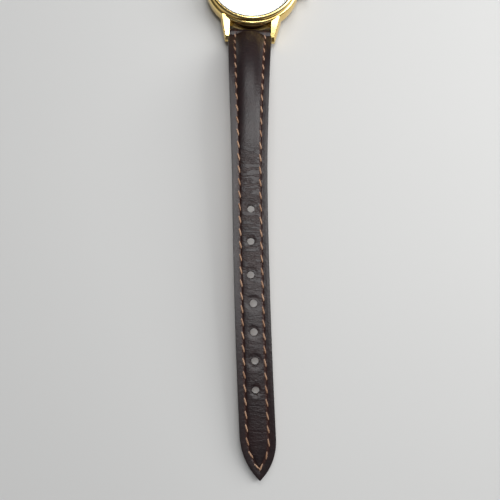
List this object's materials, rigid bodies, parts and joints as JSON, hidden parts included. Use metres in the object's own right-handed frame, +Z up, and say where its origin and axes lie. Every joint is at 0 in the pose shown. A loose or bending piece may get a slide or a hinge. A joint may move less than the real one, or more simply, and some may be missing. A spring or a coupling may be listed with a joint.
{
  "type": "wristwatch",
  "caption": "Slim round dress watch with gilt case, white dial, tapered padded leather strap in two halves and a pin buckle.",
  "frame": {"origin": "centre of the case back's flat outer face", "axes": "+Z up through the dial, +Y towards 12 o'clock and the buckle, +X towards 3 o'clock and the crown"},
  "size_m": [0.0262, 0.1993, 0.0112],
  "materials": {
    "gold_plate": "polished gold plate",
    "crystal_glass": "clear mineral crystal",
    "dial_silver": "fine silvery-white dial finish",
    "dark_rubber": "matt black gasket",
    "steel": "fine-turned steel",
    "nickel_plate": "nickel-plated movement plate",
    "wheel_brass": "satin brass wheel",
    "white_plastic": "moulded plastic",
    "board_green": "circuit board",
    "copper_wire": "enamelled copper winding",
    "battery_steel": "bright steel can",
    "magnet": "dark sintered magnet",
    "strap_leather": "semi-gloss oxblood calf",
    "lining_leather": "plain brown lining leather",
    "pad_felt": "pressed felt",
    "strap_thread": "waxed tan thread"
  },
  "bodies": {
    "case": {"case_middle": "gold_plate", "bezel": "gold_plate", "crystal": "crystal_glass", "crystal_gasket": "dark_rubber", "case_back": "steel", "case_back_gasket": "dark_rubber", "dial": "dial_silver", "hour_markers": "gold_plate", "main_plate": "nickel_plate", "train_bridge": "nickel_plate", "movement_screws": "steel", "battery": "battery_steel", "battery_bridle": "steel", "circuit_board": "board_green", "quartz_can": "battery_steel", "coil": "copper_wire", "stator": "nickel_plate", "movement_ring": "white_plastic", "crown_tube": "steel", "six_bar_tube": "steel", "six_bar_spring": "steel", "twelve_bar_tube": "steel", "twelve_bar_spring": "steel"},
    "centre": {"centre_wheel": "wheel_brass", "cannon_pinion": "steel", "minute_hand": "gold_plate"},
    "hour": {"hour_wheel": "wheel_brass", "hour_hand": "gold_plate"},
    "third": {"third_wheel": "wheel_brass"},
    "intermediate": {"intermediate_wheel": "wheel_brass"},
    "rotor": {"rotor": "magnet"},
    "minute_works": {"minute_wheel": "wheel_brass"},
    "setting": {"setting_wheel": "steel"},
    "crown_carriage": {"crown_seal": "dark_rubber"},
    "crown": {"crown": "gold_plate", "winding_stem": "steel"},
    "clutch": {"clutch": "steel"},
    "setting_lever": {"setting_lever": "steel"},
    "yoke": {"yoke": "steel"},
    "long_strap": {"long_strap_top": "strap_leather", "long_strap_lining": "lining_leather", "long_strap_padding": "pad_felt", "long_strap_thread": "strap_thread"},
    "short_strap": {"short_strap_top": "strap_leather", "short_strap_lining": "lining_leather", "short_strap_padding": "pad_felt", "short_strap_thread": "strap_thread", "fixed_keeper": "strap_leather"},
    "free_keeper": {"free_keeper": "strap_leather"},
    "buckle": {"buckle_frame": "gold_plate", "buckle_bar_tube": "steel", "buckle_bar_spring": "steel"},
    "tongue": {"buckle_tongue": "gold_plate"},
    "six_bar_left": {"six_bar_left_tip": "steel"},
    "six_bar_right": {"six_bar_right_tip": "steel"},
    "twelve_bar_left": {"twelve_bar_left_tip": "steel"},
    "twelve_bar_right": {"twelve_bar_right_tip": "steel"},
    "buckle_bar_left": {"buckle_bar_left_tip": "steel"},
    "buckle_bar_right": {"buckle_bar_right_tip": "steel"}
  },
  "joints": [
    {"name": "minute_hand_turn", "type": "hinge", "parent": "case", "child": "centre", "pos_m": [0, 0, 0], "axis": [0, 0, -1], "continuous": true},
    {"name": "hour_hand_turn", "type": "hinge", "parent": "case", "child": "hour", "pos_m": [0, 0, 0], "axis": [0, 0, -1], "continuous": true},
    {"name": "third_wheel_turn", "type": "hinge", "parent": "case", "child": "third", "pos_m": [-0.0017, 0.0017, 0], "axis": [0, 0, -1], "continuous": true},
    {"name": "intermediate_wheel_turn", "type": "hinge", "parent": "case", "child": "intermediate", "pos_m": [-0.00068, 0.00346, 0], "axis": [0, 0, -1], "continuous": true},
    {"name": "rotor_turn", "type": "hinge", "parent": "case", "child": "rotor", "pos_m": [0.0009, 0.00346, 0], "axis": [0, 0, -1], "continuous": true},
    {"name": "minute_wheel_turn", "type": "hinge", "parent": "case", "child": "minute_works", "pos_m": [0.0018, 0.00096, 0], "axis": [0, 0, -1], "continuous": true},
    {"name": "setting_wheel_turn", "type": "hinge", "parent": "case", "child": "setting", "pos_m": [0.00411, 0.00036, 0], "axis": [0, 0, -1], "continuous": true},
    {"name": "crown_pull", "type": "slide", "parent": "case", "child": "crown_carriage", "axis": [1, 0, 0], "range_m": [0, 0.0008]},
    {"name": "crown_turn", "type": "hinge", "parent": "crown_carriage", "child": "crown", "pos_m": [0, 0, 0.00275], "axis": [1, 0, 0], "continuous": true},
    {"name": "clutch_shift", "type": "slide", "parent": "crown", "child": "clutch", "axis": [-1, 0, 0], "range_m": [0, 0.0012]},
    {"name": "setting_lever_swing", "type": "hinge", "parent": "case", "child": "setting_lever", "pos_m": [0.00755, -0.0019, 0], "axis": [0, 0, -1], "range_deg": [0, 26]},
    {"name": "yoke_swing", "type": "hinge", "parent": "case", "child": "yoke", "pos_m": [0.0063, 0.0021, 0], "axis": [0, 0, -1], "range_deg": [0, 12]},
    {"name": "long_strap_swing", "type": "hinge", "parent": "case", "child": "long_strap", "pos_m": [0, -0.01345, 0.00235], "axis": [-1, 0, 0], "range_deg": [-90, 35]},
    {"name": "short_strap_swing", "type": "hinge", "parent": "case", "child": "short_strap", "pos_m": [0, 0.01345, 0.00235], "axis": [1, 0, 0], "range_deg": [-90, 35]},
    {"name": "free_keeper_slide", "type": "slide", "parent": "short_strap", "child": "free_keeper", "axis": [0, -0.989, 0.1478], "range_m": [-0.004, 0.011]},
    {"name": "buckle_swing", "type": "hinge", "parent": "short_strap", "child": "buckle", "pos_m": [0, 0.07171, 0.0018], "axis": [1, 0, 0], "range_deg": [-75, 25]},
    {"name": "tongue_swing", "type": "hinge", "parent": "buckle", "child": "tongue", "pos_m": [0, 0.07171, 0.0018], "axis": [1, 0, 0], "range_deg": [0, 80]},
    {"name": "six_bar_left_push", "type": "slide", "parent": "case", "child": "six_bar_left", "axis": [1, 0, 0], "range_m": [0, 0.00075], "stiffness_N_per_m": 500, "springref_m": -0.0005, "deforming": ["six_bar_spring"]},
    {"name": "six_bar_right_push", "type": "slide", "parent": "case", "child": "six_bar_right", "axis": [-1, 0, 0], "range_m": [0, 0.00075], "stiffness_N_per_m": 500, "springref_m": -0.0005, "deforming": ["six_bar_spring"]},
    {"name": "twelve_bar_left_push", "type": "slide", "parent": "case", "child": "twelve_bar_left", "axis": [1, 0, 0], "range_m": [0, 0.00075], "stiffness_N_per_m": 500, "springref_m": -0.0005, "deforming": ["twelve_bar_spring"]},
    {"name": "twelve_bar_right_push", "type": "slide", "parent": "case", "child": "twelve_bar_right", "axis": [-1, 0, 0], "range_m": [0, 0.00075], "stiffness_N_per_m": 500, "springref_m": -0.0005, "deforming": ["twelve_bar_spring"]},
    {"name": "buckle_bar_left_push", "type": "slide", "parent": "buckle", "child": "buckle_bar_left", "axis": [1, 0, 0], "range_m": [0, 0.00075], "stiffness_N_per_m": 500, "springref_m": -0.0005, "deforming": ["buckle_bar_spring"]},
    {"name": "buckle_bar_right_push", "type": "slide", "parent": "buckle", "child": "buckle_bar_right", "axis": [-1, 0, 0], "range_m": [0, 0.00075], "stiffness_N_per_m": 500, "springref_m": -0.0005, "deforming": ["buckle_bar_spring"]}
  ],
  "couplings": [
    {"joint": "hour_hand_turn", "follows": "minute_hand_turn", "ratio": 0.083333},
    {"joint": "third_wheel_turn", "follows": "minute_hand_turn", "ratio": -3},
    {"joint": "intermediate_wheel_turn", "follows": "minute_hand_turn", "ratio": 15},
    {"joint": "rotor_turn", "follows": "minute_hand_turn", "ratio": -90},
    {"joint": "minute_wheel_turn", "follows": "minute_hand_turn", "ratio": -0.33333},
    {"joint": "setting_wheel_turn", "follows": "minute_hand_turn", "ratio": 0.6},
    {"joint": "clutch_shift", "follows": "crown_pull", "ratio": 1.5},
    {"joint": "setting_lever_swing", "follows": "crown_pull", "rad_per_m": 531.25},
    {"joint": "yoke_swing", "follows": "crown_pull", "rad_per_m": 239.38}
  ]
}
